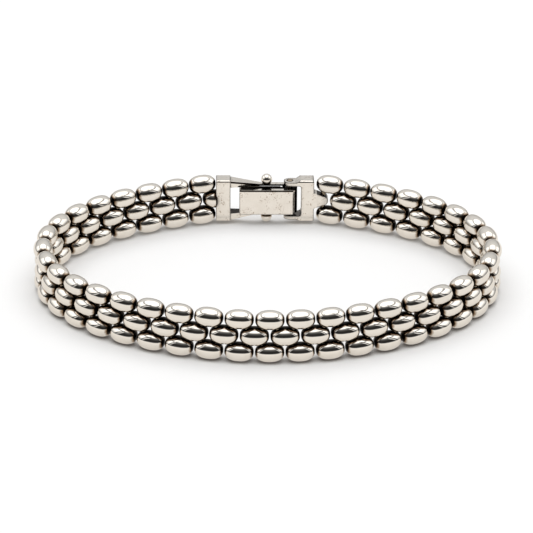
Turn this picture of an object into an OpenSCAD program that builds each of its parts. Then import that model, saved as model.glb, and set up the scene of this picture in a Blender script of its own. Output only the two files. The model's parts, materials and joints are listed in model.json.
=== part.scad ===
// Link bracelet: three rows of oval beads in a brick pattern, closed by a frame clasp.
// The ring stands on edge. The clasp lies towards +Y and the wrist opening runs along Z.
// The origin is on the floor, in the middle of the ring. All sizes are in millimetres.

/* [Chain] */
// Number of outer bead pairs, which sets the length of the chain
pair_count = 37; // [31:1:43]
// Distance from one outer pair to the next along the chain
pitch = 4.5; // [4.1:0.1:5.5]
// Gap between the ends of neighbouring beads in a row
bead_gap = 0.15; // [0.1:0.05:0.5]
// Diameter of a bead at its middle
bead_d = 2.95; // [2.6:0.05:3.3]
// Radius of a bead's rounded ends
bead_end_r = 1.24; // [0.9:0.02:1.28]
// Gap between the beads of neighbouring rows, measured at a pin
row_gap = 0.12; // [0.1:0.01:0.4]

/* [Pins] */
// Diameter of a chain pin
pin_d = 0.7; // [0.5:0.05:0.9]
// Metal left over a pin's blind end in an outer bead
pin_cover = 0.6; // [0.4:0.05:0.8]
// Radial clearance of a pin that a bead turns on
pin_play = 0.05; // [0.03:0.01:0.08]
// Radial clearance of a pin that is pushed into a piece
pin_fit = 0.02; // [0.01:0.01:0.03]

/* [Ring] */
// Bend between the chain and the clasp at each end
clasp_bend = 17.3; // [10:0.5:24]
// Heading swing that draws the ring out into an oval
oval_swing = 18.4; // [10:0.2:24]
// Heading swing that flattens the long sides of the oval
flat_swing = 3.3; // [0:0.1:5]
// Heading swing that makes the clasp side straighter than the front
egg_swing = 6.3; // [0:0.1:9]
// Heading swing that moves the widest place towards the front
shoulder_swing = 1.5; // [0:0.1:3]

/* [Clasp] */
// Height of the end block and of the bracket's base
clasp_h = 7.1; // [6.9:0.1:8]
// How far the clasp reaches from the chain's centre line towards the wrist
clasp_in = 1.05; // [0.9:0.05:1.3]
// How far the end block and the bracket's base reach from the centre line away from the wrist
block_out = 1.4; // [1.2:0.05:1.5]
// How far the bracket's ears reach from the centre line away from the wrist
ear_out = 0.85; // [0.75:0.05:1.2]
// Width of the end block along the band
block_w = 2.3; // [1.8:0.1:3]
// Width of the bracket's base along the band
base_w = 2.05; // [1.6:0.05:2.6]
// Gap between the bracket's base and the first outer beads
bracket_gap = 0.4; // [0.3:0.05:0.7]
// Rounding along the long edges of the end block and the bracket
edge_round = 0.35; // [0.2:0.05:0.5]
// Length of the slope between the bracket's base and an ear
shoulder_len = 0.8; // [0.5:0.05:1.1]
// Thickness of one hinge ear of the bracket
ear_t = 0.6; // [0.5:0.01:0.8]
// Half height of the tongue where it leaves the bracket's base
tongue_root = 1.5; // [1.2:0.05:1.6]
// Radius of the tongue's round end
tongue_end = 0.8; // [0.7:0.05:0.95]

/* [Keeper plate] */
// Height of the keeper plate
keeper_h = 4.3; // [3.8:0.1:4.5]
// Thickness of the keeper plate
keeper_t = 1.35; // [1.1:0.05:1.4]
// Length of the keeper plate from the hinge axis to its free end
keeper_reach = 8; // [7:0.1:8.6]
// Length of the keeper plate past the hinge axis
keeper_tail = 0.55; // [0.4:0.05:0.6]
// Gap between the keeper plate and the rails behind it
keeper_lift = 0.2; // [0.15:0.05:0.3]
// Chamfer at the corners of the keeper plate's free end
keeper_corner = 0.2; // [0.1:0.05:0.35]
// Height of the shallow chamfers along the keeper plate's wrist side
chamfer_h = 0.3; // [0.1:0.05:0.5]
// Depth of the shallow chamfers along the keeper plate's wrist side
chamfer_t = 0.13; // [0.05:0.01:0.3]
// Outer diameter of the keeper plate's hinge barrel
barrel_d = 2.4; // [2:0.1:2.5]
// Gap between the hinge barrel and the bracket's base
barrel_gap = 0.6; // [0.4:0.05:0.8]
// Diameter of the hinge pin
hinge_pin_d = 0.8; // [0.6:0.05:1]
// Height of each riveted head over the ear
rivet_head = 0.1; // [0.06:0.01:0.15]

/* [Rails] */
// Height of a rail's arm
arm_t = 0.35; // [0.35:0.05:0.6]
// Depth of a rail's arm, from the wrist side outwards
arm_w = 0.7; // [0.6:0.05:0.9]
// Length of the straight arm, measured from the hinge axis
arm_len = 4.5; // [4.2:0.1:5]
// Depth of a rail where it meets the end block
rail_root_w = 1.95; // [1.5:0.05:2.1]
// How much a rail's inner edge moves away from the keeper plate towards the end block
rail_spread = 0.06; // [0:0.03:0.3]
// Gap between the tip of an arm and the hinge pin
tip_gap = 0.3; // [0.25:0.05:0.5]
// Diameter of a thumb ball
ball_d = 1.76; // [1.5:0.02:1.9]
// Distance from the hinge axis to the thumb balls
ball_reach = 3.68; // [3:0.02:4]
// How deep a thumb ball is seated on its rail
ball_seat = 0.2; // [0.08:0.02:0.24]
// Diameter of a thumb ball's peg
peg_d = 0.36; // [0.3:0.02:0.4]

/* [Hidden] */
// Clearance between pieces that lie side by side on the hinge pin
side_play = 0.06;
// Least clearance between the swinging keeper plate and the bracket's base
swing_play = 0.08;
// Overshoot of a cutting shape past the surface that it cuts
cut = 0.5;
// Steps of half a pitch that the closed clasp stands for in the ring's outline
clasp_steps = 8;
$fn = 64;

// Sizes of the chain
half_pitch = pitch / 2;
bead_len = pitch - bead_gap;
bead_r = bead_d / 2;
pin_offset = pitch / 4;
pin_r = pin_d / 2;
bead_end_x = bead_len / 2 - bead_end_r;
bead_side_r = (pow(bead_end_x, 2) + pow(bead_r, 2) - pow(bead_end_r, 2)) / (2 * (bead_r - bead_end_r));
bead_side_drop = bead_side_r - bead_r;
bead_join_x = bead_end_x * bead_side_r / (bead_side_r - bead_end_r);
bead_r_at_pin = sqrt(pow(bead_side_r, 2) - pow(pin_offset, 2)) - bead_side_drop;
row_step = 2 * bead_r_at_pin + row_gap;
bead_past_pin = bead_len / 2 - pin_offset;

// Outline of the ring: headings of the steps between pins, clockwise from the bracket
step_count = 2 * pair_count - 1;
round_steps = step_count + clasp_steps;
end_phase = 180 * (step_count - 1) / round_steps;
function swing(phase) = egg_swing * sin(phase) - oval_swing * sin(2 * phase)
    + shoulder_swing * sin(3 * phase) + flat_swing * sin(4 * phase);
even_turn = (180 - clasp_bend - swing(end_phase)) / end_phase;
function phase_of(step) = 360 * (step - (step_count - 1) / 2) / round_steps;
function heading(step) = -180 - even_turn * phase_of(step) - swing(phase_of(step));
function walk(step) = half_pitch * [cos(heading(step)), sin(heading(step))];
path = [for (step = 0, at = [0, 0]; step <= step_count; at = at + walk(step), step = step + 1) at];
path_y = [for (at = path) at[1]];
centre = [path[step_count][0] / 2, (max(path_y) + min(path_y)) / 2];
pins = [for (at = path) at - centre];

// Places along the clasp, measured along X
first_pin_x = pins[0][0];
last_pin_x = pins[step_count][0];
clasp_y = pins[0][1];
base_right = first_pin_x - bead_past_pin - bracket_gap;
base_left = base_right - base_w;
keeper_in = keeper_lift + keeper_t;
hinge_x = base_left - max(barrel_d / 2 + barrel_gap, norm([keeper_tail, keeper_in]) + swing_play);
shoulder_x = base_left - shoulder_len;
block_left = last_pin_x + bead_past_pin + bead_gap / 2;
block_right = block_left + block_w;
tip_x = hinge_x - hinge_pin_d / 2 - tip_gap;
arm_x = hinge_x - arm_len;
rail_front = -clasp_in + edge_round / 2;
ball_x = hinge_x - ball_reach;

// Heights along the hinge pin, measured from the middle of the band
arm_low = keeper_h / 2 + side_play;
arm_top = arm_low + arm_t;
ear_low = arm_top + side_play;
ear_top = ear_low + ear_t;
pin_half = row_step + bead_r_at_pin - pin_cover;
mid_z = max(row_step + bead_r, arm_top + ball_d - ball_seat);

bead_colour = [0.86, 0.84, 0.81];
clasp_colour = [0.80, 0.77, 0.73];
pin_colour = [0.55, 0.51, 0.46];

function link_name(i) = str("link_", i < 9 ? "0" : "", i + 1);

// Moves to the middle of a step, with X along the step and Z at the middle of the band
module on_step(step) {
    at = (pins[step] + pins[step + 1]) / 2;
    translate([at[0], at[1], mid_z])
        rotate([0, 0, heading(step)])
            children();
}

// Moves to the clasp's own frame, on the chain's centre line and at the middle of the band
module on_clasp() {
    translate([0, clasp_y, mid_z])
        children();
}

// Turns an outline drawn in X and Z so that it is extruded along Y
module along_y(from, to) {
    translate([0, to, 0])
        rotate([90, 0, 0])
            linear_extrude(to - from)
                children();
}

// Turns an outline drawn in Y and Z so that it is extruded along X
module along_x(from, to) {
    translate([from, 0, 0])
        rotate([90, 0, 90])
            linear_extrude(to - from)
                children();
}

// Rectangle between two corners with round corners
module round_rect(low, high, r) {
    translate(low + [r, 0])
        square(high - low - [2 * r, 0]);
    translate(low + [0, r])
        square(high - low - [0, 2 * r]);
    for (x = [low[0] + r, high[0] - r], y = [low[1] + r, high[1] - r])
        translate([x, y])
            circle(r);
}

// Half of a bead's oval outline: one long arc for the side that two end arcs meet smoothly
module bead_half() {
    intersection() {
        translate([-bead_side_drop, 0])
            circle(bead_side_r, $fn = 3 * $fn);
        translate([0, -bead_join_x])
            square([bead_r, 2 * bead_join_x]);
    }
    for (side = [-1, 1])
        intersection() {
            translate([0, side * bead_end_x])
                circle(bead_end_r);
            translate([0, -bead_len])
                square([bead_end_r, 2 * bead_len]);
        }
}

// Oval bead without bores, centred, with its length along X
module bead() {
    rotate([0, 90, 0])
        rotate_extrude()
            bead_half();
}

// Two bores through or into a bead, a quarter of a pitch either side of its middle
module pin_bores(from, to, clearance) {
    for (side = [-1, 1])
        translate([side * pin_offset, 0, from])
            cylinder(h = to - from, r = pin_r + clearance);
}

// Top and bottom bead of an outer pair and the two pins that join them
module outer_pair() {
    color(bead_colour)
        for (side = [-1, 1])
            difference() {
                translate([0, 0, side * row_step])
                    bead();
                pin_bores(-pin_half - pin_fit, pin_half + pin_fit, pin_fit);
            }
    color(pin_colour)
        pin_bores(-pin_half, pin_half, 0);
}

// Middle bead, which turns on a pin of each neighbouring pair
module middle_bead() {
    color(bead_colour)
        difference() {
            bead();
            pin_bores(-bead_r - cut, bead_r + cut, pin_play);
        }
}

// One link: an outer pair and the middle bead after it, which the last link doesn't have
module link(i) {
    on_step(2 * i)
        outer_pair();
    if (i < pair_count - 1)
        on_step(2 * i + 1)
            middle_bead();
}

// Side view of the bracket's base and ears, with the slot for the hinge and round corners at the chain
module bracket_side() {
    difference() {
        intersection() {
            polygon([
                [hinge_x - clasp_in, -ear_top], [shoulder_x, -ear_top], [base_left, -clasp_h / 2],
                [base_right, -clasp_h / 2], [base_right, clasp_h / 2], [base_left, clasp_h / 2],
                [shoulder_x, ear_top], [hinge_x - clasp_in, ear_top]
            ]);
            round_rect([hinge_x - 2 * clasp_in, -clasp_h / 2], [base_right, clasp_h / 2], edge_round);
        }
        round_rect([hinge_x - 2 * clasp_in, -ear_low], [base_left, ear_low], edge_round);
    }
}

// Bracket's outline from above, round about the hinge at its free end
module bracket_plan() {
    end_r = (clasp_in + ear_out) / 2;
    translate([hinge_x, (ear_out - clasp_in) / 2])
        circle(end_r);
    polygon([
        [hinge_x, -clasp_in], [base_right, -clasp_in], [base_right, block_out],
        [base_left, block_out], [shoulder_x, ear_out], [hinge_x, ear_out]
    ]);
}

// Side view of the tongue: it narrows from the base to a round end about the first chain pin
module tongue_side() {
    translate([first_pin_x, 0])
        circle(tongue_end);
    polygon([
        [base_right - edge_round, -tongue_root], [first_pin_x, -tongue_end],
        [first_pin_x, tongue_end], [base_right - edge_round, tongue_root]
    ]);
}

module clasp_bracket() {
    color(clasp_colour)
        on_clasp()
            difference() {
                union() {
                    intersection() {
                        along_y(-clasp_in - cut, block_out + cut)
                            bracket_side();
                        translate([0, 0, -clasp_h])
                            linear_extrude(2 * clasp_h)
                                bracket_plan();
                        along_x(hinge_x - 2 * clasp_in, base_right)
                            round_rect([-clasp_in, -clasp_h / 2], [block_out, clasp_h / 2], edge_round);
                    }
                    along_y(-clasp_in + edge_round / 2, ear_out - edge_round / 2)
                        tongue_side();
                }
                translate([hinge_x, 0, -clasp_h])
                    cylinder(h = 2 * clasp_h, d = hinge_pin_d + 2 * pin_fit);
                translate([first_pin_x, 0, -clasp_h])
                    cylinder(h = 2 * clasp_h, r = pin_r + pin_play);
            }
}

module hinge_pin() {
    color(pin_colour)
        on_clasp()
            translate([hinge_x, 0, 0]) {
                translate([0, 0, -ear_top])
                    cylinder(h = 2 * ear_top, d = hinge_pin_d);
                for (side = [0, 1])
                    mirror([0, 0, side])
                        translate([0, 0, ear_top])
                            cylinder(h = rivet_head, d1 = hinge_pin_d, d2 = hinge_pin_d - 2 * rivet_head);
            }
}

// Keeper plate's outline from the wrist side, with chamfered corners at its free end
module keeper_face() {
    left = hinge_x - keeper_reach;
    right = hinge_x + keeper_tail;
    polygon([
        [left + keeper_corner, -keeper_h / 2], [right, -keeper_h / 2], [right, keeper_h / 2],
        [left + keeper_corner, keeper_h / 2], [left, keeper_h / 2 - keeper_corner],
        [left, -keeper_h / 2 + keeper_corner]
    ]);
}

// Keeper plate's cross-section, with chamfers along its wrist side
module keeper_section() {
    polygon([
        [-keeper_in, -keeper_h / 2 + chamfer_h], [-keeper_in + chamfer_t, -keeper_h / 2],
        [-keeper_lift, -keeper_h / 2], [-keeper_lift, keeper_h / 2],
        [-keeper_in + chamfer_t, keeper_h / 2], [-keeper_in, keeper_h / 2 - chamfer_h]
    ]);
}

module keeper_plate() {
    color(clasp_colour)
        on_clasp()
            difference() {
                union() {
                    intersection() {
                        along_y(-keeper_in - cut, cut)
                            keeper_face();
                        along_x(hinge_x - keeper_reach - cut, hinge_x + keeper_tail + cut)
                            keeper_section();
                    }
                    translate([hinge_x, 0, -keeper_h / 2])
                        cylinder(h = keeper_h, d = barrel_d);
                }
                translate([hinge_x, 0, -keeper_h / 2 - cut])
                    cylinder(h = keeper_h + 2 * cut, d = hinge_pin_d + 2 * pin_play);
            }
}

module end_block() {
    color(clasp_colour)
        on_clasp()
            along_x(block_left, block_right)
                round_rect([-clasp_in, -clasp_h / 2], [block_out, clasp_h / 2], edge_round);
}

// Half a middle bead on the end block, bored for the last pin of the chain
module end_lug() {
    color(bead_colour)
        on_clasp()
            difference() {
                translate([block_left, 0, 0])
                    bead();
                translate([block_left, -bead_d, -bead_d])
                    cube([bead_len, 2 * bead_d, 2 * bead_d]);
                translate([last_pin_x, 0, -bead_d])
                    cylinder(h = 2 * bead_d, r = pin_r + pin_play);
            }
}

// Side view of the upper rail: a web at the end block that thins to an arm
module rail_side() {
    polygon([
        [block_right, arm_low + rail_spread], [arm_x, arm_low], [tip_x, arm_low],
        [tip_x, arm_top], [arm_x, arm_top], [block_right, clasp_h / 2 - edge_round / 2]
    ]);
}

// Rail's outline from above
module rail_plan() {
    polygon([
        [block_right, rail_front], [arm_x, 0], [tip_x, 0], [tip_x, arm_w],
        [arm_x, arm_w], [block_right, rail_front + rail_root_w]
    ]);
}

module rail() {
    color(clasp_colour)
        on_clasp()
            difference() {
                intersection() {
                    along_y(-clasp_in - cut, block_out + cut)
                        rail_side();
                    linear_extrude(clasp_h)
                        rail_plan();
                }
                translate([ball_x, arm_w / 2, 0])
                    cylinder(h = clasp_h, d = peg_d + 2 * pin_fit);
            }
}

// Thumb ball with a flat seat on its rail and a peg through it
module ball() {
    color(bead_colour)
        on_clasp()
            translate([ball_x, arm_w / 2, 0]) {
                difference() {
                    translate([0, 0, arm_top + ball_d / 2 - ball_seat])
                        sphere(d = ball_d);
                    translate([-ball_d, -ball_d, arm_top - ball_d])
                        cube([2 * ball_d, 2 * ball_d, ball_d]);
                }
                translate([0, 0, arm_low])
                    cylinder(h = arm_t + ball_seat, d = peg_d);
            }
}

// Turns an upper piece of the clasp into its lower twin
module below() {
    translate([0, 0, 2 * mid_z])
        mirror([0, 0, 1])
            children();
}

for (i = [0 : pair_count - 1])
    link(i);
clasp_bracket();
hinge_pin();
keeper_plate();
end_block();
end_lug();
rail();  // top_rail
below() rail();  // bottom_rail
ball();  // top_ball
below() ball();  // bottom_ball
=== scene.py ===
"""Looks for a link bracelet: three rows of oval mirror beads, closed by a frame clasp.

Lengths in the constants are in millimetres, angles in degrees, and noise scales in cells per metre.
The scene itself is in metres.
"""

import json
import math

import bmesh
import bpy
import numpy as np
from mathutils import Matrix, Vector
from mathutils.bvhtree import BVHTree

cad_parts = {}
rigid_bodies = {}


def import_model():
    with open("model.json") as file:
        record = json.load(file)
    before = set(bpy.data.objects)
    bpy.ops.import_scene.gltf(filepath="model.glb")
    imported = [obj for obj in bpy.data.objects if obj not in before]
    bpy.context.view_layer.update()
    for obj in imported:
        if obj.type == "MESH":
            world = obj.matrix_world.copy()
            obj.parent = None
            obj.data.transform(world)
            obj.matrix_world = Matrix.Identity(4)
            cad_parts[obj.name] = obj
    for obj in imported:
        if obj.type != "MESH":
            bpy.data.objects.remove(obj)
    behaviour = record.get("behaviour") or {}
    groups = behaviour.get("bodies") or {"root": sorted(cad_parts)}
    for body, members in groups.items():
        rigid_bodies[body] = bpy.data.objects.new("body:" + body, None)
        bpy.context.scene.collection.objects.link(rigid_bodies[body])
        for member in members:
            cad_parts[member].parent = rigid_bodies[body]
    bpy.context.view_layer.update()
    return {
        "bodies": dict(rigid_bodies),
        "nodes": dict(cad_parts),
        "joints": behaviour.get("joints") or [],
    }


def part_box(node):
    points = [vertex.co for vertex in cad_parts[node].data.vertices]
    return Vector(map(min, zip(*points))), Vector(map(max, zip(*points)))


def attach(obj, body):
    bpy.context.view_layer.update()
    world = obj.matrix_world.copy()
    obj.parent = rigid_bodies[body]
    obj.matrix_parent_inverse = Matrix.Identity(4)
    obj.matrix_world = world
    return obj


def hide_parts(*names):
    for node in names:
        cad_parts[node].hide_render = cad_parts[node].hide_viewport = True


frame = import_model()

MM = 0.001
HALF_TURN = 180.0
TINY = 1e-6

# Chain
BEAD_LENGTH = 4.35
BEAD_DIAMETER = 2.95
BEAD_FULLNESS = 2.35
BEAD_RADIUS_AT_PIN = 1.272
HALF_PITCH = 2.25
PIN_OFFSET = HALF_PITCH / 2
PIN_DIAMETER = 0.7
PIN_COVER = 0.6

# Clasp
HINGE_PIN_RADIUS = 0.4
PEG_RADIUS = 0.18
BALL_SEAT = 0.2
CHAMFER_DEPTH = 0.13
ARM_LENGTH = 3.8
ARM_HEIGHT = 0.35
TONGUE_LENGTH = 2.25
TONGUE_HALF = 1.4

# Where the keeper plate departs from the CAD: its chamfers are shallower, and it is deeper between the rails,
# from its free end to a step close to the hinge
CHAMFER_SHOWN = 0.05
KEEPER_BACKING = 0.3
BACKING_END = (1.5, 1.45)
FREE_END = 0.5
VERTEX_TOLERANCE = 0.01

# Fineness of the meshes
BEAD_GRID = 16
BALL_GRID = 12
PIN_SIDES = 32
PIN_CHAMFER = 1 / 6
PIN_CHAMFER_STEPS = 2
CLASP_EDGE = 0.12
KEEPER_EDGE = 0.07
HINGE_PIN_EDGE = 0.04
EDGE_STEPS = 5
MERGE_DISTANCE = 0.0005
FLAT_ANGLE = 0.4
SHARP_ANGLE = 24
CLASP_SMOOTH_ANGLE = 19
PIN_SMOOTH_ANGLE = 30
LUG_SMOOTH_ANGLE = 50

# How unevenly the beads are set
TILT_SPREAD = 0.7
SIZE_SPREAD = 0.006

# Crevices, which are blackened and browned: tarnish together with painted shade and painted reflections of
# the neighbouring beads. A distance to a neighbour counts times its weight here, so that crevices between
# rows are narrower than those between the ends of beads
CREVICE_REACH = 5.2
ROW_TOLERANCE = 0.7
END_CLOSENESS = 0.8
ROW_CLOSENESS = 1.12
CLASP_CLOSENESS = 1.8
CROWN_ANGLE = 24.0
CROWN_DEPTH = (0.22, 0.22)

# Colours of the metals
# The black and the brown are tarnish together with painted shade and painted reflections in crevices, corners
# and along edges
SHADE_AND_TARNISH_BLACK = (0.012, 0.008, 0.005)
FILM_AND_REFLECTION_BROWN = (0.27, 0.165, 0.08)
BEAD_COLOURS = ((0.95, 0.905, 0.84), (0.92, 0.885, 0.83))
BALL_TONE = 0.5
CLOUD_COLOUR = (0.85, 0.80, 0.72)
CLASP_COLOURS = ((0.90, 0.855, 0.79), (0.95, 0.91, 0.85))
PIT_COLOUR = (0.36, 0.25, 0.16)
WIRE_COLOURS = ((0.30, 0.23, 0.16), (0.52, 0.44, 0.34))

# Noises: scale, detail, roughness and distortion
RAGGED_NOISE = (1600, 3.0, 0.6)
CLOUD_NOISE = (700, 2.0)
POLISH_NOISE = (2600, 2.0)
RIPPLE_NOISE = (650, 2.0, 0.5, 0.4)
LINE_STRENGTH_NOISE = (1300, 2.0)
PIT_NOISE = (5200, 1.0)
PIT_ZONE_NOISE = (900, 2.0)
MOTTLE_NOISE = (600, 3.0, 0.6)
SCRATCH_NOISE = (2500, 3.0, 0.65)
SWELL_NOISE = (500, 2.0)
STREAK_NOISE = (9000, 2.0)
SCRATCH_STRETCH = (0.25, 1.0, 6.0)
STREAK_STRETCH = (1.0, 1.0, 0.1)

# Mappings: lowest and highest input, then what each gives where that isn't 0 and 1
RAGGED = (0.2, 0.8, 0.08, -0.08)
# Blackening and browning of beads near their neighbours: tarnish together with painted shade and painted
# reflections
SHADE_AND_TARNISH_MAP = (0.36, 0.50, 1.0, 0.0)
FILM_AND_REFLECTION_MAP = (0.42, 0.8, 0.95, 0.0)
CLOUD = (0.4, 0.75, 0.0, 0.35)
BEAD_ROUGHNESS = (0.3, 0.7, 0.03, 0.06)
# Painted dark reflections along the clasp's edges, of random strength, and painted shade in its corners
EDGE_REFLECTION = (0.94, 0.985, 1.0, 0.0)
CORNER = (0.76, 0.98, 1.0, 0.0)
LINE_STRENGTH = (0.35, 0.6, 1.0, 0.75)
PIT = (0.57, 0.66)
PIT_ZONE = (0.48, 0.62)
MOTTLE = (0.3, 0.7)
CLASP_ROUGHNESS = (0.3, 0.75, 0.05, 0.13)
STREAK = (0.3, 0.7)
WIRE_ROUGHNESS = (0.3, 0.7, 0.22, 0.4)
UPWARDS = (0.6, 0.9)
TO_WRIST = (-0.4, -0.7)
# Painted contact shadow on the floor
CONTACT_SHADOW = (0.14, 0.68, 1.0, 0.0)

# Strengths and heights of the metals' detail
TARNISH_ROUGHNESS = 0.3
PIT_STRENGTH = 0.75
SCRATCH_HEIGHT = 0.25
PIT_HEIGHT = -1.0
SWELL_HEIGHT = 2.0
POLISHED_RELIEF = 0.4
WIRE_RELIEF = 0.3
BEAD_RELIEF_DEPTH = 0.015
CLASP_RELIEF_DEPTH = 0.006
WIRE_RELIEF_DEPTH = 0.01

# Dark marks of the clasp: painted shade in corners and under the rails, painted dark reflections along the
# edges, and a dark ring round the rivet. A width is given as two distances from the middle: as far as the
# mark is full, and where it ends.
EDGE_REFLECTION_REACH = 0.32
EDGE_REFLECTION_SAMPLES = 8
CORNER_REACH = 1.8
CORNER_SAMPLES = 12
OFF_FLOOR = (0.9, 1.7)
RIVET_RING_WIDTH = (0.08, 0.2)
TONGUE_ROOT_WIDTH = (0.4, 0.5)
TONGUE_FADE = 0.2
KEEPER_BRIGHT = 0.55
KEEPER_BRIGHT_FADE = 0.15
CHAMFER_LINE = 0.13
CHAMFER_LINE_WIDTH = (0.11, 0.2)
CHAMFER_ZONE = 0.17
CHAMFER_ZONE_WIDTH = (0.22, 0.47)
RAIL_LINE = 0.13
RAIL_LINE_WIDTH = (0.15, 0.24)
RAIL_LINE_FADE = (-1.2, 0.3)
RAIL_END = (0.05, 0.25)
RAIL_END_STRENGTH = 0.8
UNDER_TOP_RAIL = (-0.2, -0.1)

# Camera, fitted to the photograph
IMAGE_SIZE = 533
FOCAL_PIXELS = 3281.0
SENSOR = 36.0
CAMERA_DISTANCE = 501.6
CAMERA_ELEVATION = 26.91
CAMERA_YAW = 0.95
CAMERA_ROLL = 0.54
CAMERA_TARGET = (-0.19, 0.0, 3.79)
CAMERA_CLIP = (10, 20000)

# Studio: brightness of the surroundings against elevation, towards the camera, beside it and behind
FRONT_SKY = ((-90, 0.85), (-4, 0.85), (4, 0.05), (12, 0.03), (22, 0.016), (33, 0.045), (44, 0.10), (52, 0.25),
             (57, 0.55), (62, 1.4), (90, 1.4))
SIDE_SKY = ((-90, 0.85), (-4, 0.85), (-1, 0.10), (4, 0.25), (10, 0.6), (22, 1.15), (46, 1.35), (49, 0.3),
            (53, 0.3), (57, 1.4), (90, 1.4))
BACK_SKY = ((-90, 0.85), (-4, 0.85), (-1, 0.15), (4, 0.3), (14, 0.55), (48, 0.75), (51, 0.4), (55, 1.4),
            (90, 1.4))
FRONT_EDGE = (64, 76)
FRONT_SLANT = 0.55
SIDE_EDGE = (118, 130)
PANEL_GAP = 80
PANEL_GAP_WIDTH = (4, 6)
PANEL_GAP_TOP = (60, 74)
PANEL_GAP_STRENGTH = 0.95
PANEL_GAP_COLOUR = (0.03, 0.03, 0.03)
SKY_TINT = (1.0, 0.99, 0.975)
ROOM_GLOW = 0.52
WHITE = (1.0, 1.0, 1.0)
LAMP_IRRADIANCE = 1.75
LAMP_SPREAD = 75

# Floor
FLOOR_RADIUS = 3000
FLOOR_SIDES = 96
FLOOR_COLOUR = (0.9, 0.9, 0.9)
FLOOR_MIRRORED = (0.82, 0.79, 0.75)
FLOOR_FILL = 0.05
FLOOR_SHADED = 0.5
# Painted contact shadow: its colour, how far it reaches, and how much weaker it is towards the clasp
CONTACT_SHADOW_COLOUR = (0.08, 0.06, 0.045)
CONTACT_REACH = 2.6
CONTACT_SAMPLES = 16
CONTACT_AT_CLASP = 0.6
CONTACT_FADE = (-8, 8)

SEED = 11
random = np.random.default_rng(SEED)


def joint_place(name):
    """Place of a joint at rest, in metres."""
    return Vector(next(joint["pos_m"] for joint in frame["joints"] if joint["name"] == name))


def link_names():
    return sorted(name for name in frame["bodies"] if name.startswith("link_"))


# Node trees

def add(tree, kind, inputs=None, **settings):
    """Adds a shader node, sets its properties, and fills or links its inputs by name or number."""
    made = tree.nodes.new(kind)
    for key, value in settings.items():
        setattr(made, key, value)
    for key, value in (inputs or {}).items():
        if isinstance(value, bpy.types.NodeSocket):
            tree.links.new(value, made.inputs[key])
        else:
            made.inputs[key].default_value = value
    return made


def maths(tree, operation, *values):
    return add(tree, "ShaderNodeMath", dict(enumerate(values)), operation=operation).outputs[0]


def vector_maths(tree, operation, first, second):
    return add(tree, "ShaderNodeVectorMath", {0: first, 1: second}, operation=operation).outputs


def times(tree, first, second):
    return maths(tree, "MULTIPLY", first, second)


def strongest(tree, first, *others):
    for other in others:
        first = maths(tree, "MAXIMUM", first, other)
    return first


def without(tree, mask):
    """The opposite of a mask."""
    return maths(tree, "SUBTRACT", 1.0, mask)


def split(tree, vector):
    """X, Y and Z of a vector."""
    return add(tree, "ShaderNodeSeparateXYZ", {"Vector": vector}).outputs


def stretch(tree, place, scale):
    return add(tree, "ShaderNodeMapping", {"Vector": place, "Scale": scale}).outputs["Vector"]


def noise(tree, place, scale, detail=2.0, roughness=0.5, distortion=0.0):
    inputs = {"Vector": place, "Scale": scale, "Detail": detail, "Roughness": roughness,
              "Distortion": distortion}
    return add(tree, "ShaderNodeTexNoise", inputs).outputs["Fac"]


def spread(tree, value, low, high, to_low=0.0, to_high=1.0, smooth=True):
    """Maps a value from one range to another and clamps it."""
    inputs = {"Value": value, "From Min": low, "From Max": high, "To Min": to_low, "To Max": to_high}
    kind = "SMOOTHSTEP" if smooth else "LINEAR"
    return add(tree, "ShaderNodeMapRange", inputs, interpolation_type=kind).outputs["Result"]


def near(tree, value, goal, full, none):
    """One where a value is near its goal, and nothing past the outer distance, in millimetres."""
    away = maths(tree, "ABSOLUTE", maths(tree, "SUBTRACT", value, goal))
    return spread(tree, away, full * MM, none * MM, 1.0, 0.0)


def open_air(tree, reach, samples):
    """How open a place is within some millimetres: less than one in corners and beside other pieces."""
    return add(tree, "ShaderNodeAmbientOcclusion", {"Distance": reach * MM}, samples=samples).outputs["AO"]


def blend(tree, factor, first, second, kind="MIX"):
    """Mixes two colours, each a socket or a tuple of three."""
    colours = [value if isinstance(value, bpy.types.NodeSocket) else (*value, 1.0)
               for value in (first, second)]
    made = add(tree, "ShaderNodeMix", data_type="RGBA", blend_type=kind)
    sockets = [s for s in made.inputs if s.type == "RGBA"]
    factor_socket = next(s for s in made.inputs if s.name == "Factor" and s.type == "VALUE")
    for socket, value in zip([factor_socket, *sockets], [factor, *colours]):
        if isinstance(value, bpy.types.NodeSocket):
            tree.links.new(value, socket)
        else:
            socket.default_value = value
    return next(s for s in made.outputs if s.type == "RGBA")


def ramp(tree, value, stops):
    """Colour ramp over values from 0 to 1, with grey stops."""
    made = add(tree, "ShaderNodeValToRGB", {"Fac": value})
    elements = made.color_ramp.elements
    for place, grey in stops[1:-1]:
        elements.new(place).color = (grey, grey, grey, 1.0)
    for element, (_, grey) in ((elements[0], stops[0]), (elements[-1], stops[-1])):
        element.color = (grey, grey, grey, 1.0)
    return made.outputs["Color"]


# Meshes

def mesh_of(shape, name):
    """Turns a bmesh into a mesh and frees it."""
    mesh = bpy.data.meshes.new(name)
    shape.to_mesh(mesh)
    shape.free()
    return mesh


def smooth_up_to(mesh, angle):
    mesh.shade_smooth()
    mesh.set_sharp_from_angle(angle=math.radians(angle))


def new_piece(name, mesh, material):
    piece = bpy.data.objects.new(name, mesh)
    bpy.context.scene.collection.objects.link(piece)
    mesh.materials.clear()
    mesh.materials.append(material)
    return piece


def cube_sphere(divisions):
    """Unit directions and quads of a sphere without poles: a cube's grid pushed outwards."""
    shape = bmesh.new()
    bmesh.ops.create_cube(shape, size=2.0)
    bmesh.ops.subdivide_edges(shape, edges=shape.edges[:], cuts=divisions - 1, use_grid_fill=True)
    corners = np.array([vert.co for vert in shape.verts])
    faces = [[vert.index for vert in face.verts] for face in shape.faces]
    shape.free()
    evened = np.tan(corners * math.pi / 4)
    return evened / np.linalg.norm(evened, axis=1)[:, None], faces


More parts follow.
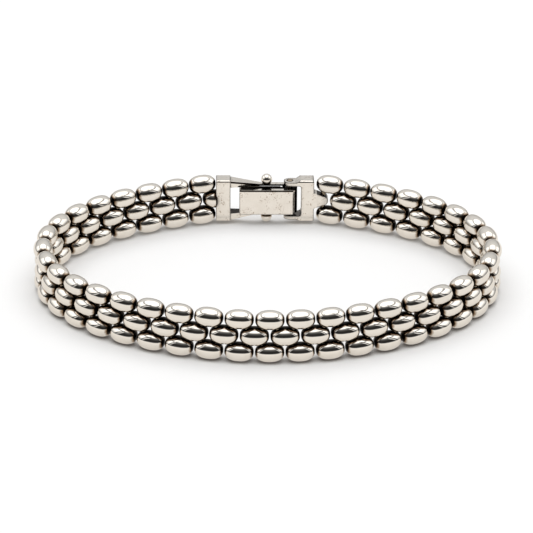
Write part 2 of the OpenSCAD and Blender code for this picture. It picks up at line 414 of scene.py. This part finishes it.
def oval_bead():
    """Points and quads of one bead with its length along X, in millimetres."""
    directions, faces = cube_sphere(BEAD_GRID)
    along = np.abs(directions[:, 0])
    across = np.hypot(directions[:, 1], directions[:, 2])
    reach = (along ** BEAD_FULLNESS + across ** BEAD_FULLNESS) ** (-1 / BEAD_FULLNESS)
    points = directions * reach[:, None] * [BEAD_LENGTH / 2, BEAD_DIAMETER / 2, BEAD_DIAMETER / 2]
    return points, faces


def bead_depth(points, place, turn):
    """Signed distance, roughly, from points to a bead's surface."""
    local = (points - place) @ turn
    along = np.abs(local[:, 0]) / (BEAD_LENGTH / 2)
    across = np.hypot(local[:, 1], local[:, 2]) / (BEAD_DIAMETER / 2)
    level = (along ** BEAD_FULLNESS + across ** BEAD_FULLNESS) ** (1 / BEAD_FULLNESS)
    return np.linalg.norm(local, axis=1) * (1 - 1 / np.maximum(level, TINY))


def turn_about_z(angle):
    return np.array(Matrix.Rotation(angle, 3, "Z"))


def small_turn():
    """Slight random tilt, as links that were set by hand have."""
    about_y, about_z = random.normal(0, math.radians(TILT_SPREAD) / 2, 2)
    return np.array(Matrix.Rotation(about_z, 3, "Z") @ Matrix.Rotation(about_y, 3, "Y"))


class Bead:
    """One bead of the chain: where it is, how it is turned, and which link carries it."""

    def __init__(self, link, place, heading):
        self.link = link
        self.place = np.array(place)
        self.turn = turn_about_z(heading) @ small_turn()
        self.size = 1 + random.uniform(-SIZE_SPREAD, 0, 3)
        self.tone = random.uniform(0, 1)


def pin_places():
    """Every chain pin from the bracket round to the end block, in millimetres, with the link that has it."""
    links = link_names()
    held = [joint_place(f"{name}_hinge") / MM for name in links]
    last = joint_place("frame_hinge") / MM
    places = []
    for link, here, after in zip(links, held, held[1:] + [None]):
        places.append((link, here))
        if after is None:
            places.append((link, last))
            continue
        middle = (here + after) / 2
        step = after - here
        rise = math.sqrt(max(HALF_PITCH ** 2 - step.length_squared / 4, 0.0))
        outwards = Vector((-step.y, step.x, 0)).normalized()
        places.append((link, middle + rise * outwards))
    return places


def chain_beads(pins, row_step):
    """All beads: an outer pair on each link and a middle bead from it to the next link."""
    beads = []
    for step, ((link, here), (_, after)) in enumerate(zip(pins, pins[1:])):
        heading = math.atan2(after.y - here.y, after.x - here.x)
        place = (here + after) / 2
        rises = (row_step, -row_step) if step % 2 == 0 else (0.0,)
        beads += [Bead(link, place + Vector((0, 0, rise)), heading) for rise in rises]
    lug_place = pins[-1][1] + Vector((PIN_OFFSET, 0, 0))
    return beads + [Bead("end_lug", lug_place, math.pi)]


def crevice_depth(points, bead, beads):
    """How close each point of a bead lies to the other beads, in weighted millimetres."""
    nearest = np.full(len(points), CREVICE_REACH)
    for other in beads:
        if other is not bead and np.linalg.norm(other.place - bead.place) < CREVICE_REACH:
            same_row = abs(other.place[2] - bead.place[2]) < ROW_TOLERANCE
            weight = END_CLOSENESS if same_row else ROW_CLOSENESS
            nearest = np.minimum(nearest, weight * bead_depth(points, other.place, other.turn))
    return nearest


def crown_depth(local, rise):
    """Closeness that the top or bottom of a bead has where another row lies over or under its own row, which
    gives it painted shade there.
    """
    from_top = np.degrees(np.arctan2(np.abs(local[:, 1]), local[:, 2]))
    from_row = np.full(len(local), HALF_TURN)
    if rise < ROW_TOLERANCE:
        from_row = np.minimum(from_row, from_top)
    if rise > -ROW_TOLERANCE:
        from_row = np.minimum(from_row, HALF_TURN - from_top)
    least, growth = CROWN_DEPTH
    return least + growth * (from_row / CROWN_ANGLE) ** 2


def surface_of(nodes):
    """Search tree over the surfaces of some CAD pieces."""
    shape = bmesh.new()
    for node in nodes:
        shape.from_mesh(frame["nodes"][node].data)
    tree = BVHTree.FromBMesh(shape)
    shape.free()
    return tree


def distance_to(tree, points):
    """How far each point, in millimetres, lies from a surface, up to the reach of a crevice."""
    found = (tree.find_nearest(Vector(point) * MM, CREVICE_REACH * MM)[3] for point in points)
    return np.array([CREVICE_REACH if distance is None else distance / MM for distance in found])


def add_values(mesh, name, values):
    mesh.attributes.new(name, "FLOAT", "POINT").data.foreach_set("value", np.asarray(values, np.float32))


def bead_mesh(name, chosen, beads, clasp):
    """The chosen beads as one mesh, with their closeness to their neighbours and to the clasp, which sets
    their tarnish and painted shade, and a tone for each bead.
    """
    points, faces = oval_bead()
    verts, quads, closeness, tones = [], [], [], []
    middle = beads[-1].place[2]
    for count, bead in enumerate(chosen):
        placed = (points * bead.size) @ bead.turn.T + bead.place
        quads += [[corner + count * len(points) for corner in face] for face in faces]
        verts.append(placed)
        to_beads = np.minimum(crevice_depth(placed, bead, beads), crown_depth(points, bead.place[2] - middle))
        closeness.append(np.minimum(to_beads, CLASP_CLOSENESS * distance_to(clasp, placed)))
        tones.append(np.full(len(placed), bead.tone))
    mesh = bpy.data.meshes.new(name)
    mesh.from_pydata((np.concatenate(verts) * MM).tolist(), [], quads)
    add_values(mesh, "closeness", np.concatenate(closeness))
    add_values(mesh, "tone", np.concatenate(tones))
    mesh.shade_smooth()
    return mesh


def link_piece(link, beads, clasp, material):
    mesh = bead_mesh(f"{link}_beads", [bead for bead in beads if bead.link == link], beads, clasp)
    piece = new_piece(mesh.name, mesh, material)
    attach(piece, link)
    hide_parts(link)


def lug_piece(lug, beads, clasp, material):
    """Half a middle bead that is cut off flat where it meets the end block."""
    mesh = bead_mesh("end_lug_bead", [lug], beads, clasp)
    shape = bmesh.new()
    shape.from_mesh(mesh)
    cut = bmesh.ops.bisect_plane(shape, geom=shape.verts[:] + shape.edges[:] + shape.faces[:],
                                 plane_co=Vector(lug.place) * MM, plane_no=(1, 0, 0), clear_outer=True)
    rim = [item for item in cut["geom_cut"] if isinstance(item, bmesh.types.BMEdge)]
    bmesh.ops.edgeloop_fill(shape, edges=rim)
    shape.to_mesh(mesh)
    shape.free()
    mesh.set_sharp_from_angle(angle=math.radians(LUG_SMOOTH_ANGLE))
    piece = new_piece(mesh.name, mesh, material)
    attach(piece, "frame")
    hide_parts("end_lug")


def round_pin(shape, place, low, high, radius):
    """Adds an upright pin with chamfered ends to a bmesh, in metres."""
    edge = radius * PIN_CHAMFER
    made = bmesh.ops.create_cone(shape, cap_ends=True, segments=PIN_SIDES, radius1=radius, radius2=radius,
                                 depth=high - low)["verts"]
    rims = dict.fromkeys(e for vert in made for e in vert.link_edges
                         if abs(e.verts[0].co.z - e.verts[1].co.z) < edge)
    bmesh.ops.translate(shape, verts=made, vec=Vector((place.x, place.y, (low + high) / 2)))
    bmesh.ops.bevel(shape, geom=list(rims), offset=edge, segments=PIN_CHAMFER_STEPS, affect="EDGES",
                    profile=0.5)


def pins_piece(link, pins, half_height, material):
    """The two pins of one link."""
    shape = bmesh.new()
    for place in (place for name, place in pins if name == link):
        round_pin(shape, place * MM, (place.z - half_height) * MM, (place.z + half_height) * MM,
                  PIN_DIAMETER / 2 * MM)
    mesh = mesh_of(shape, f"{link}_pins")
    smooth_up_to(mesh, PIN_SMOOTH_ANGLE)
    piece = new_piece(f"{link}_pins", mesh, material)
    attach(piece, link)


def ball_piece(node, material):
    """A thumb ball that is flat where it sits on its rail, with the peg that goes through the rail."""
    lowest, highest = (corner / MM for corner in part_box(node))
    centre = (lowest + highest) / 2
    block_low, block_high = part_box("end_block")
    outwards = math.copysign(1.0, centre.z - (block_low.z + block_high.z) / 2 / MM)
    radius = (highest.x - lowest.x) / 2
    peg_end, ball_end = (lowest.z, highest.z) if outwards > 0 else (highest.z, lowest.z)
    directions, faces = cube_sphere(BALL_GRID)
    points = directions * radius
    points[:, 2] = outwards * np.maximum(outwards * points[:, 2], BALL_SEAT - radius)
    points += [centre.x, centre.y, ball_end - outwards * radius]
    shape = bmesh.new()
    verts = [shape.verts.new(point) for point in (points * MM).tolist()]
    for face in faces:
        shape.faces.new([verts[corner] for corner in face])
    low, high = sorted((peg_end, ball_end - outwards * radius))
    round_pin(shape, centre * MM, low * MM, high * MM, PEG_RADIUS * MM)
    mesh = mesh_of(shape, f"{node}_finish")
    smooth_up_to(mesh, PIN_SMOOTH_ANGLE)
    # The ball's closeness to its rails darkens it where it sits: tarnish together with painted shade
    seat = surface_of(("top_rail", "bottom_rail"))
    add_values(mesh, "closeness", distance_to(seat, [vert.co / MM for vert in mesh.vertices]))
    add_values(mesh, "tone", np.full(len(mesh.vertices), BALL_TONE))
    piece = new_piece(mesh.name, mesh, material)
    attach(piece, "frame")
    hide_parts(node)


def shape_keeper(shape):
    """Makes the keeper plate thicker between the rails, and its long chamfers shallower."""
    hinge = joint_place("keeper_fold")
    end = min(vert.co.x for vert in shape.verts) + FREE_END * MM
    back = max(vert.co.y for vert in shape.verts if vert.co.x < end)
    for reach in BACKING_END:
        bmesh.ops.bisect_plane(shape, geom=shape.verts[:] + shape.edges[:] + shape.faces[:],
                               plane_co=(hinge.x - reach * MM, 0, 0), plane_no=(1, 0, 0))
    backed = hinge.x - (BACKING_END[0] - VERTEX_TOLERANCE) * MM
    for vert in shape.verts:
        if vert.co.x < backed and abs(vert.co.y - back) < VERTEX_TOLERANCE * MM:
            vert.co.y += KEEPER_BACKING * MM
    wrist = min(vert.co.y for vert in shape.verts)
    for vert in shape.verts:
        if abs(vert.co.y - wrist - CHAMFER_DEPTH * MM) < VERTEX_TOLERANCE * MM:
            vert.co.y = wrist + CHAMFER_SHOWN * MM


def dressed_copy(node, body, material, edge):
    """A copy of a CAD piece with its sharp edges softly rounded, which stands for the piece."""
    shape = bmesh.new()
    shape.from_mesh(frame["nodes"][node].data)
    bmesh.ops.remove_doubles(shape, verts=shape.verts[:], dist=MERGE_DISTANCE * MM)
    if node == "keeper_plate":
        shape_keeper(shape)
    bmesh.ops.dissolve_limit(shape, angle_limit=math.radians(FLAT_ANGLE), verts=shape.verts[:],
                             edges=shape.edges[:])
    sharp = [e for e in shape.edges
             if len(e.link_faces) == 2 and e.calc_face_angle() > math.radians(SHARP_ANGLE)]
    bmesh.ops.bevel(shape, geom=sharp, offset=edge * MM, segments=EDGE_STEPS, affect="EDGES", profile=0.5,
                    clamp_overlap=True)
    shape.normal_update()
    for face in shape.faces:
        face.smooth = True
    for ridge in shape.edges:
        ridge.smooth = ridge.calc_face_angle(0.0) < math.radians(CLASP_SMOOTH_ANGLE)
    piece = new_piece(f"{node}_finish", mesh_of(shape, f"{node}_finish"), material)
    normals = piece.modifiers.new("normals", "WEIGHTED_NORMAL")
    normals.keep_sharp = True
    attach(piece, body)
    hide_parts(node)


# Materials

def metal_base(name):
    """A metal, with its node tree, its shader and the place on the piece."""
    material = bpy.data.materials.new(name)
    material.use_nodes = True
    tree = material.node_tree
    shader = tree.nodes["Principled BSDF"]
    shader.inputs["Metallic"].default_value = 1.0
    place = add(tree, "ShaderNodeTexCoord").outputs["Object"]
    return material, tree, shader, place


def finish_metal(tree, shader, colour, roughness, height, strength, depth):
    """Links a metal's colour and roughness, and its relief with a depth in millimetres."""
    tree.links.new(colour, shader.inputs["Base Color"])
    tree.links.new(roughness, shader.inputs["Roughness"])
    bump = add(tree, "ShaderNodeBump", {"Height": height, "Strength": strength, "Distance": depth * MM})
    tree.links.new(bump.outputs["Normal"], shader.inputs["Normal"])


def bead_metal():
    """Mirror-polished white metal, a little wavy, blackened and browned where beads nearly touch: tarnish
    together with painted shade and painted reflections of the neighbouring beads.
    """
    material, tree, shader, place = metal_base("bead_metal")
    closeness = add(tree, "ShaderNodeAttribute", attribute_name="closeness").outputs["Fac"]
    tone = add(tree, "ShaderNodeAttribute", attribute_name="tone").outputs["Fac"]
    # Blackening and browning from the closeness to neighbours: tarnish together with painted shade and
    # reflections
    reach = maths(tree, "ADD", closeness, spread(tree, noise(tree, place, *RAGGED_NOISE), *RAGGED))
    shade_and_tarnish = spread(tree, reach, *SHADE_AND_TARNISH_MAP)
    film_and_reflection = spread(tree, reach, *FILM_AND_REFLECTION_MAP)
    clean = blend(tree, tone, *BEAD_COLOURS)
    cloudy = blend(tree, spread(tree, noise(tree, place, *CLOUD_NOISE), *CLOUD), clean, CLOUD_COLOUR)
    colour = blend(tree, shade_and_tarnish, blend(tree, film_and_reflection, cloudy, FILM_AND_REFLECTION_BROWN), SHADE_AND_TARNISH_BLACK)
    polish = spread(tree, noise(tree, place, *POLISH_NOISE), *BEAD_ROUGHNESS)
    roughness = maths(tree, "ADD", polish, times(tree, shade_and_tarnish, TARNISH_ROUGHNESS))
    ripple = noise(tree, place, *RIPPLE_NOISE)
    finish_metal(tree, shader, colour, roughness, ripple, POLISHED_RELIEF, BEAD_RELIEF_DEPTH)
    return material


def edge_reflection_line(tree):
    """A thin painted dark reflection line along every sharp edge, where the normals turn if the edge is
    rounded.
    """
    rounded = add(tree, "ShaderNodeBevel", {"Radius": EDGE_REFLECTION_REACH * MM}, samples=EDGE_REFLECTION_SAMPLES)
    flat = add(tree, "ShaderNodeNewGeometry")
    bend = vector_maths(tree, "DOT_PRODUCT", rounded.outputs["Normal"], flat.outputs["Normal"])
    return spread(tree, bend["Value"], *EDGE_REFLECTION)


def rivet_ring(tree, place):
    """A dark ring where the hinge pin's head is set into the ear."""
    flat = vector_maths(tree, "MULTIPLY", place, (1.0, 1.0, 0.0))["Vector"]
    hinge = joint_place("keeper_fold")
    away = vector_maths(tree, "DISTANCE", flat, (hinge.x, hinge.y, 0.0))["Value"]
    return near(tree, away, HINGE_PIN_RADIUS * MM, *RIVET_RING_WIDTH)


def facing(tree, axis, low, high):
    """How far the surface faces along an axis of its own piece."""
    return spread(tree, split(tree, add(tree, "ShaderNodeTexCoord").outputs["Normal"])[axis], low, high)


def body_marks(tree, place, corner_shade, edge_reflections):
    """Bracket and block: painted shade in the corners and painted dark reflections along the edges, except
    where the tongue runs into the bracket's base.
    """
    x, _, z = split(tree, place)
    low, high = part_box("clasp_bracket")
    root = near(tree, x, high.x - TONGUE_LENGTH * MM, *TONGUE_ROOT_WIDTH)
    inside = near(tree, z, (low.z + high.z) / 2, TONGUE_HALF - TONGUE_FADE, TONGUE_HALF)
    corners = times(tree, strongest(tree, corner_shade, edge_reflections), without(tree, times(tree, root, inside)))
    return strongest(tree, corners, rivet_ring(tree, place))


def keeper_marks(tree, place, corner_shade, edge_reflections):
    """Keeper plate: painted shade on most of the top, which the rail shades, and a thin painted dark
    reflection line along its wrist edge.
    """
    _, y, z = split(tree, place)
    low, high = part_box("keeper_plate")
    up = facing(tree, "Z", *UPWARDS)
    bright = low.y + KEEPER_BRIGHT * MM
    shade = times(tree, up, spread(tree, y, bright, bright + KEEPER_BRIGHT_FADE * MM))
    line = near(tree, z, high.z - CHAMFER_LINE * MM, *CHAMFER_LINE_WIDTH)
    chamfer = near(tree, z, high.z - CHAMFER_ZONE * MM, *CHAMFER_ZONE_WIDTH)
    corners = times(tree, strongest(tree, corner_shade, edge_reflections), without(tree, chamfer))
    return strongest(tree, corners, times(tree, line, without(tree, up)), shade)


def rail_marks(tree, place, _, edge_reflections):
    """Rails: a thin line of painted shade under the top rail's wrist edge, and painted shade on the bottom
    rail's upper side.
    """
    along = split(tree, place)
    x, z = along["X"], along["Z"]
    low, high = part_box("top_rail")
    arm = high.x - ARM_LENGTH * MM
    ridge = spread(tree, x, low.x, arm, high.z, low.z + ARM_HEIGHT * MM, smooth=False)
    line = near(tree, maths(tree, "SUBTRACT", ridge, z), RAIL_LINE * MM, *RAIL_LINE_WIDTH)
    to_arm = spread(tree, x, *(arm + shift * MM for shift in RAIL_LINE_FADE), 1.0, 0.0)
    front = times(tree, facing(tree, "Y", *TO_WRIST), to_arm)
    end = spread(tree, x, *(low.x + shift * MM for shift in RAIL_END), RAIL_END_STRENGTH, 0.0)
    under = spread(tree, z, *(low.z + shift * MM for shift in UNDER_TOP_RAIL), 1.0, 0.0)
    shade = times(tree, facing(tree, "Z", *UPWARDS), under)
    return strongest(tree, times(tree, line, front), times(tree, end, edge_reflections), shade)


def clasp_metal(name, marks):
    """Polished white metal with fine scratches, small brown pits and the given dark marks, which are mostly
    painted shade and painted dark reflections.
    """
    material, tree, shader, place = metal_base(name)
    # Painted shade in corners and beside other pieces, faded out near the floor
    off_floor = spread(tree, split(tree, place)["Z"], *(height * MM for height in OFF_FLOOR))
    corner_shade = times(tree, spread(tree, open_air(tree, CORNER_REACH, CORNER_SAMPLES), *CORNER), off_floor)
    # Random strength of the painted edge reflection lines
    line_strength = spread(tree, noise(tree, place, *LINE_STRENGTH_NOISE), *LINE_STRENGTH)
    dark = marks(tree, place, corner_shade, times(tree, edge_reflection_line(tree), line_strength))
    pits = times(tree, spread(tree, noise(tree, place, *PIT_NOISE), *PIT),
                 spread(tree, noise(tree, place, *PIT_ZONE_NOISE), *PIT_ZONE))
    clean = blend(tree, spread(tree, noise(tree, place, *MOTTLE_NOISE), *MOTTLE), *CLASP_COLOURS)
    pitted = blend(tree, times(tree, pits, PIT_STRENGTH), clean, PIT_COLOUR)
    scratches = noise(tree, stretch(tree, place, SCRATCH_STRETCH), *SCRATCH_NOISE)
    scored = maths(tree, "ADD", times(tree, scratches, SCRATCH_HEIGHT), times(tree, pits, PIT_HEIGHT))
    swell = times(tree, noise(tree, place, *SWELL_NOISE), SWELL_HEIGHT)
    colour = blend(tree, dark, pitted, SHADE_AND_TARNISH_BLACK)
    roughness = spread(tree, scratches, *CLASP_ROUGHNESS)
    height = maths(tree, "ADD", scored, swell)
    finish_metal(tree, shader, colour, roughness, height, POLISHED_RELIEF, CLASP_RELIEF_DEPTH)
    return material


def pin_metal():
    """Drawn wire, dark brown and streaked: tarnish together with painted shade of the narrow places where
    pins sit.
    """
    material, tree, shader, place = metal_base("pin_metal")
    streaks = noise(tree, stretch(tree, place, STREAK_STRETCH), *STREAK_NOISE)
    colour = blend(tree, spread(tree, streaks, *STREAK), *WIRE_COLOURS)
    finish_metal(tree, shader, colour, spread(tree, streaks, *WIRE_ROUGHNESS), streaks, WIRE_RELIEF,
                 WIRE_RELIEF_DEPTH)
    return material


# Pieces

CLASP_METALS = (("clasp_metal", body_marks), ("keeper_metal", keeper_marks), ("rail_metal", rail_marks))

CLASP_PIECES = (
    ("clasp_bracket", "bracket", "clasp_metal", CLASP_EDGE),
    ("keeper_plate", "keeper", "keeper_metal", KEEPER_EDGE),
    ("end_block", "frame", "clasp_metal", CLASP_EDGE),
    ("top_rail", "frame", "rail_metal", CLASP_EDGE),
    ("bottom_rail", "frame", "rail_metal", CLASP_EDGE),
)


def dress_chain():
    """Beads, pins and lug. Returns their two metals."""
    lowest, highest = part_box(link_names()[0])
    row_step = (highest.z - lowest.z) / MM / 2 - BEAD_DIAMETER / 2
    pins = pin_places()
    beads = chain_beads(pins, row_step)
    polished, wire = bead_metal(), pin_metal()
    clasp = surface_of(("clasp_bracket", "end_block"))
    for link in link_names():
        link_piece(link, beads, clasp, polished)
        pins_piece(link, pins, row_step + BEAD_RADIUS_AT_PIN - PIN_COVER, wire)
    lug_piece(beads[-1], beads, clasp, polished)
    return polished, wire


def dress_clasp(polished, wire):
    metals = {name: clasp_metal(name, marks) for name, marks in CLASP_METALS}
    for node, body, metal, edge in CLASP_PIECES:
        dressed_copy(node, body, metals[metal], edge)
    dressed_copy("hinge_pin", "bracket", wire, HINGE_PIN_EDGE)
    for node in ("top_ball", "bottom_ball"):
        ball_piece(node, polished)


# Studio

def sky_value(tree, elevation, profile):
    return ramp(tree, elevation, [(degrees / HALF_TURN + 0.5, value) for degrees, value in profile])


def make_world():
    """White for the camera. Metal sees a dark studio beyond soft white panels above and beside the object."""
    world = bpy.data.worlds.new("studio")
    bpy.context.scene.world = world
    world.use_nodes = True
    tree = world.node_tree
    x, y, z = split(tree, add(tree, "ShaderNodeTexCoord").outputs["Generated"])
    rise = maths(tree, "ARCSINE", z)
    elevation = spread(tree, rise, -math.pi / 2, math.pi / 2, smooth=False)
    turn = maths(tree, "ABSOLUTE", maths(tree, "ARCTAN2", x, times(tree, y, -1.0)))
    front, side, back = (sky_value(tree, elevation, profile) for profile in (FRONT_SKY, SIDE_SKY, BACK_SKY))
    slanted = maths(tree, "ADD", turn, times(tree, rise, FRONT_SLANT))
    past_front = spread(tree, slanted, *map(math.radians, FRONT_EDGE))
    past_side = spread(tree, turn, *map(math.radians, SIDE_EDGE))
    sky = blend(tree, past_side, blend(tree, past_front, front, side), back)
    off_gap = maths(tree, "ABSOLUTE", maths(tree, "SUBTRACT", slanted, math.radians(PANEL_GAP)))
    below_top = spread(tree, rise, *map(math.radians, PANEL_GAP_TOP), PANEL_GAP_STRENGTH, 0.0)
    in_gap = times(tree, spread(tree, off_gap, *map(math.radians, PANEL_GAP_WIDTH), 1.0, 0.0), below_top)
    tinted = blend(tree, 1.0, blend(tree, in_gap, sky, PANEL_GAP_COLOUR), SKY_TINT, "MULTIPLY")
    path = add(tree, "ShaderNodeLightPath").outputs
    lit = blend(tree, path["Is Diffuse Ray"], tinted, [ROOM_GLOW] * 3)
    background = tree.nodes["Background"]
    tree.links.new(blend(tree, path["Is Camera Ray"], lit, WHITE), background.inputs["Color"])


def make_lamp():
    """Broad soft light from above, which the metal doesn't mirror."""
    lamp = bpy.data.lights.new("overhead", "SUN")
    lamp.energy = LAMP_IRRADIANCE
    lamp.angle = math.radians(LAMP_SPREAD)
    holder = bpy.data.objects.new("overhead", lamp)
    holder.visible_glossy = False
    bpy.context.scene.collection.objects.link(holder)


def make_floor():
    """Pale floor with a painted contact shadow that is weaker towards the clasp.

    Part of what the metal mirrors of it is even light, so that the mirrored floor isn't too dark near the
    bracelet.
    """
    material = bpy.data.materials.new("pale_floor")
    material.use_nodes = True
    tree = material.node_tree
    shader = tree.nodes["Principled BSDF"]
    shader.inputs["Roughness"].default_value = 1.0
    shader.inputs["Specular IOR Level"].default_value = 0.0
    path = add(tree, "ShaderNodeLightPath").outputs
    y = split(tree, add(tree, "ShaderNodeTexCoord").outputs["Object"])["Y"]
    # Painted contact shadow where the bracelet closes the floor in, weaker towards the clasp
    strength = spread(tree, y, *(place * MM for place in CONTACT_FADE), 1.0, CONTACT_AT_CLASP)
    contact_shadow_mask = times(tree, spread(tree, open_air(tree, CONTACT_REACH, CONTACT_SAMPLES), *CONTACT_SHADOW), strength)
    contact_shadowed = blend(tree, contact_shadow_mask, FLOOR_COLOUR, CONTACT_SHADOW_COLOUR)
    mirrored = [value * FLOOR_SHADED for value in FLOOR_MIRRORED]
    tree.links.new(blend(tree, path["Is Glossy Ray"], contact_shadowed, mirrored), shader.inputs["Base Color"])
    even = [value * (1 - FLOOR_SHADED) for value in FLOOR_MIRRORED]
    glow = blend(tree, path["Is Glossy Ray"], [FLOOR_FILL] * 3, even)
    tree.links.new(glow, shader.inputs["Emission Color"])
    seen = strongest(tree, path["Is Camera Ray"], path["Is Glossy Ray"])
    tree.links.new(seen, shader.inputs["Emission Strength"])
    shape = bmesh.new()
    bmesh.ops.create_circle(shape, cap_ends=True, segments=FLOOR_SIDES, radius=FLOOR_RADIUS * MM)
    mesh = mesh_of(shape, "floor")
    new_piece("floor", mesh, material)


def make_camera():
    elevation, yaw, roll = map(math.radians, (CAMERA_ELEVATION, CAMERA_YAW, CAMERA_ROLL))
    right, up = Vector((1, 0, 0)), Vector((0, math.sin(elevation), math.cos(elevation)))
    back = right.cross(up)
    image_right = right * math.cos(roll) + up * math.sin(roll)
    image_up = up * math.cos(roll) - right * math.sin(roll)
    place = (Vector(CAMERA_TARGET) + back * CAMERA_DISTANCE) * MM
    turned = Matrix((image_right, image_up, back)).transposed().to_4x4()
    data = bpy.data.cameras.new("camera")
    data.sensor_width = SENSOR
    data.lens = SENSOR * FOCAL_PIXELS / IMAGE_SIZE
    data.clip_start, data.clip_end = (distance * MM for distance in CAMERA_CLIP)
    camera = bpy.data.objects.new("camera", data)
    camera.matrix_world = Matrix.Rotation(-yaw, 4, "Z") @ Matrix.Translation(place) @ turned
    bpy.context.scene.collection.objects.link(camera)
    bpy.context.scene.camera = camera


make_camera()
dress_clasp(*dress_chain())
make_floor()
make_world()
make_lamp()
bpy.context.scene.view_settings.view_transform = "Standard"
